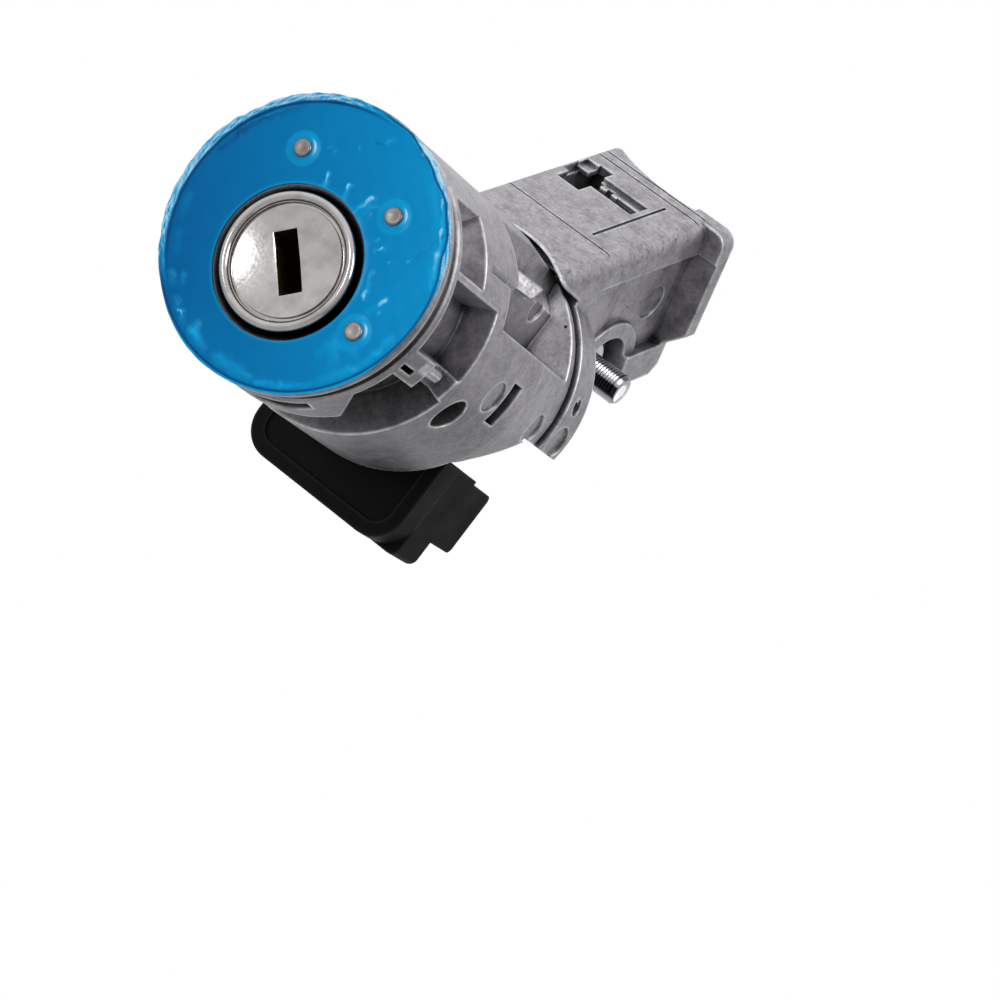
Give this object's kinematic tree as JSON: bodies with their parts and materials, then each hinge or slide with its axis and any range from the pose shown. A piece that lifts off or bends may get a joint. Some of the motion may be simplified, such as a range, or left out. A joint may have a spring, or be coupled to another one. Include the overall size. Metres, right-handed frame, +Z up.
{
  "type": "ignition switch",
  "caption": "Steering-lock ignition switch: round die-cast barrel with an eccentric key plug, an inclined bolt box with a column saddle and a moulded connector switch under the rear.",
  "frame": {"origin": "on the key plug's axis, level with the front of the head", "axes": "+Y back along the barrel away from the driver, +X to the stud's side, +Z up towards the bolt box"},
  "size_m": [0.0408, 0.1001, 0.0681],
  "materials": {
    "die_cast": "as-cast satin, slightly mottled, worn bright on edges",
    "blue_film": "glossy translucent protective film",
    "chrome": "satin chrome",
    "steel": "bright turned steel",
    "hard_steel": "ground hardened steel",
    "zinc_plate": "bright zinc plate",
    "plug_brass": "machined brass",
    "brass": "stamped brass",
    "black_plastic": "matte black moulding",
    "grey_plastic": "dark grey moulding"
  },
  "bodies": {
    "housing": {"barrel_housing": "die_cast", "protective_film": "blue_film", "locating_pins": "steel", "stop_pin": "steel", "lock_body": "die_cast", "side_cover": "zinc_plate", "mounting_stud": "zinc_plate", "stud_collar": "zinc_plate", "body_screws": "zinc_plate", "switch_pin": "steel", "switch_cover": "black_plastic", "switch_housing": "black_plastic", "rotor_cap": "black_plastic", "connector_terminals": "brass", "bolt_spring": "steel"},
    "plug": {"plug_cap": "chrome", "lock_plug": "plug_brass", "tumblers": "brass", "tumbler_springs": "steel", "plug_clip": "steel", "plug_driver": "steel", "switch_rotor": "grey_plastic", "contact_bridge": "brass"},
    "bolt": {"bolt_carrier": "steel", "lock_bolt": "hard_steel"}
  },
  "joints": [
    {"name": "key_turn", "type": "hinge", "parent": "housing", "child": "plug", "pos_m": [0, 0, 0], "axis": [0, 1, 0], "range_deg": [0, 105]},
    {"name": "bolt_slide", "type": "slide", "parent": "housing", "child": "bolt", "axis": [0, 0.8348, 0.5505], "range_m": [-0.00801, 0], "deforming": ["bolt_spring"]}
  ],
  "couplings": [
    {"joint": "bolt_slide", "follows": "key_turn", "m_per_rad": -0.0043674}
  ]
}
